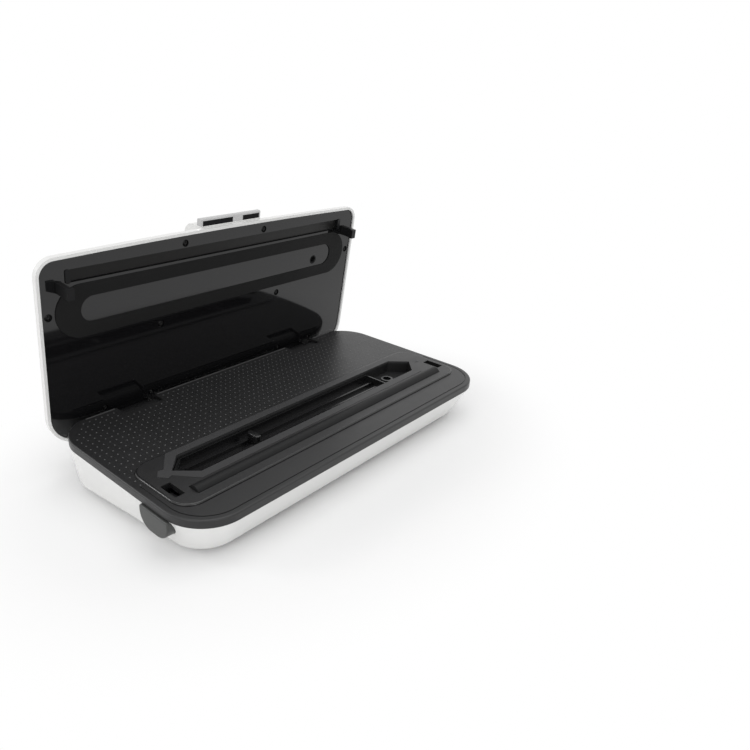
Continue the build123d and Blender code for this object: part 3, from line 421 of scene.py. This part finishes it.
def deck_plastic(name, colour):
    """The satin deck, with a moulded grain, pale specks and a polished edge around the raised platform."""
    material, start, place, shader = new_material(name)
    middle = on_deck(0.0, (PLATFORM_BACK + PLATFORM_FRONT) / 2, 0.0).dot(deck_back)
    half_depth = (PLATFORM_FRONT - PLATFORM_BACK) / 2
    axes = start.node("ShaderNodeSeparateXYZ", {"Vector": place})
    over_x = start.math("ABSOLUTE", axes) - (PLATFORM_HALF - PLATFORM_CORNER)
    across = measured(start, place, deck_back) - middle
    over_y = start.math("ABSOLUTE", across) - (half_depth - PLATFORM_CORNER)
    out_x = start.math("MAXIMUM", over_x, 0.0)
    out_y = start.math("MAXIMUM", over_y, 0.0)
    inside = start.math("MINIMUM", start.math("MAXIMUM", over_x, over_y), 0.0)
    away = start.math("SQRT", out_x * out_x + out_y * out_y) + inside - PLATFORM_CORNER
    edge = start.math("ABSOLUTE", away + EDGE_MIDDLE) < EDGE_HALF
    drift = noise(start, place, DRIFT_SCALE, detail=2.0)
    fine = noise(start, place, DECK_GRAIN_SCALE, detail=3.0)
    patches = noise(start, place, PATCH_SCALE, detail=4.0)
    specks = noise(start, place, DECK_SPECK_SCALE, detail=1.0) > DECK_SPECK_LEVEL
    link(varied(start, drift * 0.4 + fine * 0.5 + specks * 0.7, colour, spread=0.5), shader, "Base Color")
    link(uneven(patches, DECK_ROUGHNESS, spread=0.1) - edge * EDGE_POLISH, shader, "Roughness")
    link(relief(fine, DECK_DEPTH), shader, "Normal")
    return material


def bowed_panel(name, colour, roughness):
    """Polished inner panel of the lid, with faint wiping marks. It is flat, and only its shading is bowed."""
    material, start, place, shader = new_material(name)
    reach = measured(start, place, lid_outward) - hinge.dot(lid_outward)
    past = start.math("MAXIMUM", reach - BOW_START, 0.0)
    fine = noise(start, place, PANEL_MOTTLE_SCALE, detail=2.0)
    wiped = noise(start, stretched(start, place, WIPING_SCALE), 1.0, detail=4.0)
    link(varied(start, wiped * 0.7 + fine * 0.3, colour, spread=0.3), shader, "Base Color")
    link(uneven(wiped, roughness, spread=0.05), shader, "Roughness")
    link(relief(past * past * (-BOW_RATE / 2), depth=1.0, strength=1.0), shader, "Normal")
    return material


# Finishes, each with its colour and its roughness
white_shell = moulded("white_shell", (0.8, 0.8, 0.79), 0.22, spread=0.025, rough_spread=0.06,
                      grain_depth=0.000004, coat=0.3)
charcoal_deck = deck_plastic("charcoal_deck", (0.0125, 0.0125, 0.013))
cover_plastic = moulded("cover_plastic", (0.0095, 0.0095, 0.01), 0.36, spread=0.35, grain_depth=0.00004)
# The dots' pale grey colour is a painted highlight, standing in for the glint on their domes
dot_painted_glint = moulded("deck_dot", (0.12, 0.12, 0.122), 0.3, spread=0.4)
polished_panel = bowed_panel("polished_panel", (0.006, 0.006, 0.0065), 0.07)
foam_ring = moulded("foam_ring", (0.009, 0.009, 0.009), 0.75, spread=0.35, grain=FOAM_SCALE,
                    grain_depth=0.00008, specular=0.2)
grey_ring = moulded("grey_ring", (0.032, 0.032, 0.033), 0.5, spread=0.2, grain_depth=0.00003)
bar_rubber = moulded("bar_rubber", (0.0085, 0.0085, 0.0088), 0.5, spread=0.2, grain_depth=0.00003,
                     specular=0.2)
satin_button = moulded("satin_button", (0.04, 0.042, 0.04), 0.38, spread=0.18)
tray_plastic = moulded("tray_plastic", (0.01, 0.01, 0.0105), 0.2, spread=0.3, grain_depth=0.000004)
hook_plastic = moulded("hook_plastic", (0.009, 0.009, 0.0095), 0.4, spread=0.3, specular=0.22)
foot_rubber = moulded("foot_rubber", (0.02, 0.02, 0.02), 0.8, spread=0.3, grain_depth=0.00006)
inner_grey = moulded("inner_grey", (0.09, 0.09, 0.093), 0.5, spread=0.15)
unit_finish = two_tone("unit_finish", (0.8, 0.8, 0.79), (0.5, 0.5, 0.5), 0.26)
window_black = moulded("window_black", (0.005, 0.005, 0.006), 0.12, spread=0.3, grain_depth=0.000001,
                       specular=0.08)
key_grey = moulded("key_grey", (0.5, 0.5, 0.5), 0.3, spread=0.08)
lamp_green = moulded("lamp_green", (0.16, 0.42, 0.2), 0.15, spread=0.2, coat=0.5)
tube_grey = moulded("tube_grey", (0.3, 0.3, 0.31), 0.35, spread=0.15)
bright_steel = metal("bright_steel", (0.62, 0.62, 0.61), 0.3, DRAWN_LINES)
dark_screw = metal("dark_screw", (0.12, 0.12, 0.12), 0.35, SCREW_LINES, cross=True)
screw_steel = metal("screw_steel", (0.5, 0.5, 0.49), 0.3, SCREW_LINES, cross=True)
motor_steel = metal("motor_steel", (0.45, 0.45, 0.46), 0.4, CAN_LINES)
strip_cloth = coated_cloth("strip_cloth")
green_board = board("green_board")

# Pieces that have each finish
FINISHES = {
    white_shell: ["base_shell", "lid_shell"],
    charcoal_deck: ["top_plate"],
    polished_panel: ["lid_panel"],
    foam_ring: ["upper_gasket", "vent_cup"],
    grey_ring: ["lower_gasket"],
    bar_rubber: ["press_bar"],
    satin_button: ["release_button_left", "release_button_right"],
    tray_plastic: ["drip_tray", "suction_port", "power_inlet"],
    hook_plastic: ["latch_hook_left", "latch_hook_right", "strip_clip_left", "strip_clip_right",
                   "hinge_arm_left", "hinge_arm_right", "seal_carrier", "hinge_bracket_left",
                   "hinge_bracket_right"],
    foot_rubber: ["foot_back_left", "foot_back_right", "foot_front_left", "foot_front_right"],
    inner_grey: ["latch_catch_left", "latch_catch_right", "lid_switch_left", "lid_switch_right", "pump_head",
                 "pump_cradle", "pump_eccentric"],
    unit_finish: ["control_housing"],
    window_black: ["control_window_left", "control_window_right"],
    key_grey: ["key_vacuum", "key_seal", "key_pulse", "key_stop"],
    lamp_green: ["control_lamps"],
    tube_grey: ["air_tube"],
    bright_steel: ["base_screws", "hinge_pin_left", "hinge_pin_right", "release_spring_left",
                   "release_spring_right", "pump_shaft", "heating_element", "lid_screws", "hinge_screws"],
    motor_steel: ["pump_motor", "transformer"],
    strip_cloth: ["release_tape"],
    green_board: ["circuit_board", "control_board"],
}
for finish, names in FINISHES.items():
    for name in names:
        piece = frame["nodes"][name]
        piece.data.materials.clear()
        piece.data.materials.append(finish)


def geometry_tree(name, sizes):
    """A Geometry Nodes tree with named size inputs, its input sockets by name, and its output node."""
    tree = bpy.data.node_groups.new(name, "GeometryNodeTree")
    tree.interface.new_socket("Geometry", in_out="OUTPUT", socket_type="NodeSocketGeometry")
    for label, kind in sizes:
        tree.interface.new_socket(label, in_out="INPUT", socket_type=kind)
    return tree, tree.nodes.new("NodeGroupInput").outputs, tree.nodes.new("NodeGroupOutput")


def step(tree, kind, inputs, **settings):
    """Adds one geometry node with its settings and the values or links of its sockets."""
    made = tree.nodes.new(kind)
    for name, value in settings.items():
        setattr(made, name, value)
    for name, value in inputs.items():
        if isinstance(value, bpy.types.NodeSocket):
            tree.links.new(value, made.inputs[name])
        else:
            made.inputs[name].default_value = value
    return made


def placed_copies(tree, given, shape, turn, finish, result):
    """Ends a tree: copies of a unit shape, sized, turned and set on the given points, as one dressed mesh."""
    size = step(tree, "ShaderNodeCombineXYZ", {"X": given["Radius"], "Y": given["Radius"],
                                               "Z": given["Height"]})
    tilt = step(tree, "ShaderNodeCombineXYZ", {"X": turn})
    sized = step(tree, "GeometryNodeTransform", {"Geometry": shape, "Scale": size.outputs[0],
                                                 "Rotation": tilt.outputs[0]})
    copies = step(tree, "GeometryNodeInstanceOnPoints", {"Points": given["Geometry"],
                                                         "Instance": sized.outputs[0]})
    real = step(tree, "GeometryNodeRealizeInstances", {"Geometry": copies.outputs[0]})
    smooth = step(tree, "GeometryNodeSetShadeSmooth", {"Geometry": real.outputs[0]})
    dressed = step(tree, "GeometryNodeSetMaterial", {"Geometry": smooth.outputs[0], "Material": finish})
    tree.links.new(dressed.outputs[0], result.inputs[0])


def grown(name, tree, values, points=()):
    """An object made by a tree from given points, turned into a plain mesh at the origin."""
    mesh = bpy.data.meshes.new(name)
    mesh.from_pydata([tuple(point) for point in points], [], [])
    piece = bpy.data.objects.new(name, mesh)
    bpy.context.scene.collection.objects.link(piece)
    modifier = piece.modifiers.new(name, "NODES")
    modifier.node_group = tree
    for item in tree.interface.items_tree:
        if item.in_out == "INPUT" and item.name in values:
            modifier[item.identifier] = values[item.name]
    graph = bpy.context.evaluated_depsgraph_get()
    piece.data = bpy.data.meshes.new_from_object(piece.evaluated_get(graph), depsgraph=graph)
    piece.modifiers.clear()
    return piece


def finished(name, shape, finish):
    """An object with the mesh of a built shape and its material."""
    mesh = bpy.data.meshes.new(name)
    shape.to_mesh(mesh)
    shape.free()
    mesh.materials.append(finish)
    piece = bpy.data.objects.new(name, mesh)
    bpy.context.scene.collection.objects.link(piece)
    return piece


def in_rounded(x, reach, half, back, front, corner):
    """Whether a point of the deck lies inside a plan with rounded corners."""
    middle = (back + front) / 2
    over_x = abs(x) - (half - corner)
    over_reach = abs(reach - middle) - ((front - back) / 2 - corner)
    return math.hypot(max(over_x, 0.0), max(over_reach, 0.0)) < corner and max(over_x, over_reach) < corner


def dot_spots():
    """The places of the dots: rows and columns over the rear deck, clear of its rim, notches and platform."""
    columns = int(DECK_HALF / DOT_PITCH_ALONG)
    rows = int((DOT_END_REACH - DECK_BACK) / DOT_PITCH_ACROSS)
    spots = []
    for row in range(rows):
        reach = DECK_BACK + (row + 0.5) * DOT_PITCH_ACROSS
        for column in range(-columns, columns + 1):
            x = column * DOT_PITCH_ALONG
            on_top = in_rounded(x, reach, DECK_HALF - DOT_MARGIN, DECK_BACK + DOT_MARGIN,
                                DECK_FRONT - DOT_MARGIN, DECK_CORNER - DOT_MARGIN)
            on_platform = in_rounded(x, reach, PLATFORM_HALF + DOT_CLEARANCE, PLATFORM_BACK - DOT_CLEARANCE,
                                     PLATFORM_FRONT + DOT_CLEARANCE, PLATFORM_CORNER + DOT_CLEARANCE)
            beside_notch = NOTCH_NEAR - DOT_CLEARANCE < abs(x) < NOTCH_FAR + DOT_CLEARANCE
            in_notch = beside_notch and reach < NOTCH_REACH + DOT_CLEARANCE
            if on_top and not on_platform and not in_notch:
                spots.append(on_deck(x, reach, 0.0))
    return spots


def dot_field():
    """The raised dots of the rear deck."""
    tree, given, result = geometry_tree("dot_field", [
        ("Geometry", "NodeSocketGeometry"), ("Radius", "NodeSocketFloat"), ("Height", "NodeSocketFloat"),
        ("Slope", "NodeSocketFloat")])
    ball = step(tree, "GeometryNodeMeshUVSphere", {"Segments": DOT_SIDES, "Rings": DOT_RINGS, "Radius": 1.0})
    placed_copies(tree, given, ball.outputs["Mesh"], given["Slope"], dot_painted_glint, result)
    sizes = {"Radius": DOT_RADIUS, "Height": DOT_HEIGHT, "Slope": DECK_SLOPE}
    return grown("deck_dots", tree, sizes, dot_spots())


def screw_heads(name, spots, radius, finish):
    """Domed heads with a cross recess cut into them, set in the recesses of the lid panel."""
    tree, given, result = geometry_tree(name, [
        ("Geometry", "NodeSocketGeometry"), ("Radius", "NodeSocketFloat"), ("Height", "NodeSocketFloat"),
        ("Turn", "NodeSocketFloat")])
    ball = step(tree, "GeometryNodeMeshUVSphere", {
        "Segments": SCREW_HEAD_SIDES, "Rings": SCREW_HEAD_RINGS, "Radius": 1.0})
    spot = step(tree, "GeometryNodeInputPosition", {})
    marked = step(tree, "GeometryNodeStoreNamedAttribute", {
        "Geometry": ball.outputs["Mesh"], "Name": "head", "Value": spot.outputs[0]}, data_type="FLOAT_VECTOR")
    cut = step(tree, "GeometryNodeMeshBoolean", {"Mesh 1": marked.outputs[0]}, operation="DIFFERENCE",
               solver="EXACT")
    for along, across in ((CROSS_REACH, CROSS_HALF), (CROSS_HALF, CROSS_REACH)):
        arm = step(tree, "GeometryNodeMeshCube", {"Size": (2 * along, 2 * across, CROSS_CUTTER)})
        lowered = step(tree, "GeometryNodeTransform", {
            "Geometry": arm.outputs["Mesh"], "Translation": (0.0, 0.0, -CROSS_FLOOR - CROSS_CUTTER / 2)})
        tree.links.new(lowered.outputs[0], cut.inputs["Mesh 2"])
    placed_copies(tree, given, cut.outputs["Mesh"], given["Turn"], finish, result)
    seats = [on_lid(x, reach, PANEL_LEVEL + SCREW_RECESS) for x, reach in spots]
    return grown(name, tree, {"Radius": radius, "Height": SCREW_HEAD_HEIGHT, "Turn": -LEAN}, seats)


def deck_bead():
    """The thin raised bead along the deck's rear edge, in three runs between the notches."""
    tree, given, result = geometry_tree("deck_bead", [("Radius", "NodeSocketFloat")])
    joined = step(tree, "GeometryNodeJoinGeometry", {})
    profile = step(tree, "GeometryNodeCurvePrimitiveCircle", {
        "Resolution": BEAD_SIDES, "Radius": given["Radius"]})
    for start, end in BEAD_RUNS:
        line = step(tree, "GeometryNodeCurvePrimitiveLine", {
            "Start": on_deck(start, BEAD_REACH, 0.0), "End": on_deck(end, BEAD_REACH, 0.0)})
        tube = step(tree, "GeometryNodeCurveToMesh", {
            "Curve": line.outputs[0], "Profile Curve": profile.outputs[0], "Fill Caps": True})
        tree.links.new(tube.outputs[0], joined.inputs[0])
    real = step(tree, "GeometryNodeRealizeInstances", {"Geometry": joined.outputs[0]})
    dressed = step(tree, "GeometryNodeSetMaterial", {"Geometry": real.outputs[0], "Material": cover_plastic})
    tree.links.new(dressed.outputs[0], result.inputs[0])
    return grown("deck_bead", tree, {"Radius": BEAD_RADIUS})


def band(shape, first, second):
    """Faces between two rings of points, all the way round."""
    count = len(first)
    return [shape.faces.new((first[i], first[(i + 1) % count], second[(i + 1) % count], second[i]))
            for i in range(count)]


def hinge_cover(name, x):
    """A barrel cover that turns with the lid inside one notch of the deck."""
    shape = bmesh.new()
    angles = [COVER_START + (COVER_END - COVER_START) * i / COVER_STEPS for i in range(COVER_STEPS + 1)]
    outline = [(COVER_OUTER, angle) for angle in angles]
    outline += [(COVER_INNER, angle) for angle in reversed(angles)]
    ends = []
    for end in (x - COVER_HALF, x + COVER_HALF):
        ends.append([shape.verts.new(on_lid(end, radius * math.sin(angle), radius * math.cos(angle)))
                     for radius, angle in outline])
    band(shape, *ends)
    last = len(outline) - 1
    for end in ends:
        for i in range(COVER_STEPS):
            shape.faces.new((end[i], end[i + 1], end[last - 1 - i], end[last - i]))
    bmesh.ops.recalc_face_normals(shape, faces=shape.faces)
    return finished(name, shape, cover_plastic)


def grip_ring(shape, inset, height):
    """One ring of the grip: a slot outline set across the tray at a height over the deck."""
    radius = GRIP_HALF_THICKNESS - inset
    centre = GRIP_HALF_LENGTH - GRIP_HALF_THICKNESS
    ring = []
    for end in (1, -1):
        for i in range(GRIP_STEPS + 1):
            angle = math.pi * i / GRIP_STEPS
            x = GRIP_X + end * radius * math.cos(angle)
            reach = TRAY_REACH + end * (centre + radius * math.sin(angle))
            ring.append(shape.verts.new(on_deck(x, reach, height)))
    return ring


def in_tab(point):
    """Whether a point belongs to the plain tab over the tray's floor."""
    x, reach, height = deck_place(point)
    in_length = abs(x - TAB_X) < TAB_HALF_LENGTH + NEAR
    in_thickness = abs(reach - TRAY_REACH) < TAB_HALF_THICKNESS + NEAR
    return in_length and in_thickness and height > TRAY_FLOOR + NEAR


def ribbed_tray():
    """The drip tray, with a rounded grip across it in place of the plain tab."""
    shape = bmesh.new()
    shape.from_mesh(frame["nodes"]["drip_tray"].data)
    bmesh.ops.remove_doubles(shape, verts=shape.verts, dist=SAME)
    bmesh.ops.delete(shape, geom=[vert for vert in shape.verts if in_tab(vert.co)], context="VERTS")
    bmesh.ops.holes_fill(shape, edges=[edge for edge in shape.edges if edge.is_boundary], sides=0)
    for face in shape.faces:
        face.smooth = False
    rings = [grip_ring(shape, 0.0, TRAY_FLOOR - NEAR)]
    for i in range(ROUNDING_STEPS + 1):
        angle = math.pi / 2 * i / ROUNDING_STEPS
        inset = GRIP_ROUNDING * (1 - math.cos(angle))
        rings.append(grip_ring(shape, inset, GRIP_TOP - GRIP_ROUNDING * (1 - math.sin(angle))))
    grip = [shape.faces.new(rings[0]), shape.faces.new(rings[-1])]
    for lower, upper in zip(rings, rings[1:]):
        grip += band(shape, lower, upper)
    bmesh.ops.recalc_face_normals(shape, faces=grip)
    for face in grip:
        face.smooth = True
    return finished("ribbed_tray", shape, tray_plastic)


# Pieces that dress the solids, with the body that carries each
tray = ribbed_tray()
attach(tray, "tray")
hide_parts("drip_tray")
dots = dot_field()
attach(dots, "base")
bead = deck_bead()
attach(bead, "base")
for side, sign in (("left", -1), ("right", 1)):
    cover = hinge_cover(f"hinge_cover_{side}", sign * (NOTCH_NEAR + NOTCH_FAR) / 2)
    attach(cover, "lid")
HEAD_SETS = [("lid_screw_heads", LID_SCREWS, LID_SCREW_HEAD, screw_steel, "lid_screws"),
             ("hinge_screw_heads", HINGE_SCREWS, HINGE_SCREW_HEAD, dark_screw, "hinge_screws")]
for label, spots, radius, finish, node in HEAD_SETS:
    heads = screw_heads(label, spots, radius, finish)
    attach(heads, "lid")
    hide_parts(node)


def pale_floor_finish(name, colour):
    """Pale floor: its far reach fades into the white background, and it keeps the shadow near the machine."""
    material, start, place, shader = new_material(name)
    faint = noise(start, place, FLOOR_SCALE, detail=2.0)
    link(varied(start, faint, colour, spread=0.01), shader, "Base Color")
    shader.inputs["Roughness"].default_value = FLOOR_ROUGHNESS
    squeezed = stretched(start, place, (FADE_ALONG, 1.0, 1.0))
    distance = start.node("ShaderNodeVectorMath", {0: squeezed}, output=1, operation="LENGTH")
    fade = start.node("ShaderNodeMapRange", {"Value": distance, "From Min": FADE_START, "From Max": FADE_END},
                      interpolation_type="SMOOTHSTEP")
    ray = start.node("ShaderNodeLightPath")
    mirrored = start.math("MAXIMUM", ray, ray.beside("Is Glossy Ray"))
    seen = start.math("MAXIMUM", mirrored, ray.beside("Is Transmission Ray"))
    glow = start.node("ShaderNodeEmission", {"Color": WHITE, "Strength": 1.0})
    plain = Wire(start.tree, shader.outputs[0])
    both = start.node("ShaderNodeMixShader", {0: fade * seen, 1: plain, 2: glow})
    start.tree.links.new(both.socket, start.tree.nodes["Material Output"].inputs["Surface"])
    return material


def soft_lamp(name, place, size, power):
    """A square lamp that faces the machine."""
    data = bpy.data.lights.new(name, "AREA")
    data.shape = "SQUARE"
    data.size = size
    data.energy = power
    lamp = bpy.data.objects.new(name, data)
    turn = (LIT_POINT - place).to_track_quat("-Z", "Y").to_matrix().to_4x4()
    lamp.matrix_world = Matrix.Translation(place) @ turn
    bpy.context.scene.collection.objects.link(lamp)


# Floor, world, lamps and camera
floor_mesh = bpy.data.meshes.new("floor")
floor_mesh.from_pydata([(-FLOOR_HALF, -FLOOR_HALF, 0.0), (FLOOR_HALF, -FLOOR_HALF, 0.0),
                        (FLOOR_HALF, FLOOR_HALF, 0.0), (-FLOOR_HALF, FLOOR_HALF, 0.0)], [], [(0, 1, 2, 3)])
floor = bpy.data.objects.new("floor", floor_mesh)
floor.data.materials.append(pale_floor_finish("pale_floor", FLOOR_COLOUR))
bpy.context.scene.collection.objects.link(floor)

world = bpy.data.worlds.new("studio")
world.use_nodes = True
bpy.context.scene.world = world
sky_ray = Wire(world.node_tree).node("ShaderNodeLightPath")
sky_seen = sky_ray.math("MAXIMUM", sky_ray, sky_ray.beside("Is Glossy Ray"))
background = world.node_tree.nodes["Background"]
background.inputs["Color"].default_value = WHITE
link(sky_seen * (1.0 - AMBIENT) + AMBIENT, background, "Strength")

for lamp_name, lamp_place, lamp_size, watts in LAMPS:
    soft_lamp(lamp_name, lamp_place, lamp_size, watts)

camera_data = bpy.data.cameras.new("camera")
camera_data.sensor_width = CAMERA_SENSOR
camera_data.lens = CAMERA_LENS
camera_data.shift_x = CAMERA_SHIFT
camera_data.clip_start = CAMERA_NEAREST
camera = bpy.data.objects.new("camera", camera_data)
camera_up = CAMERA_BACK.cross(CAMERA_RIGHT)
camera_turn = Matrix((CAMERA_RIGHT, camera_up, CAMERA_BACK)).transposed().to_4x4()
camera.matrix_world = Matrix.Translation(CAMERA_PLACE) @ camera_turn
bpy.context.scene.collection.objects.link(camera)
bpy.context.scene.camera = camera
bpy.context.scene.view_settings.view_transform = "Standard"
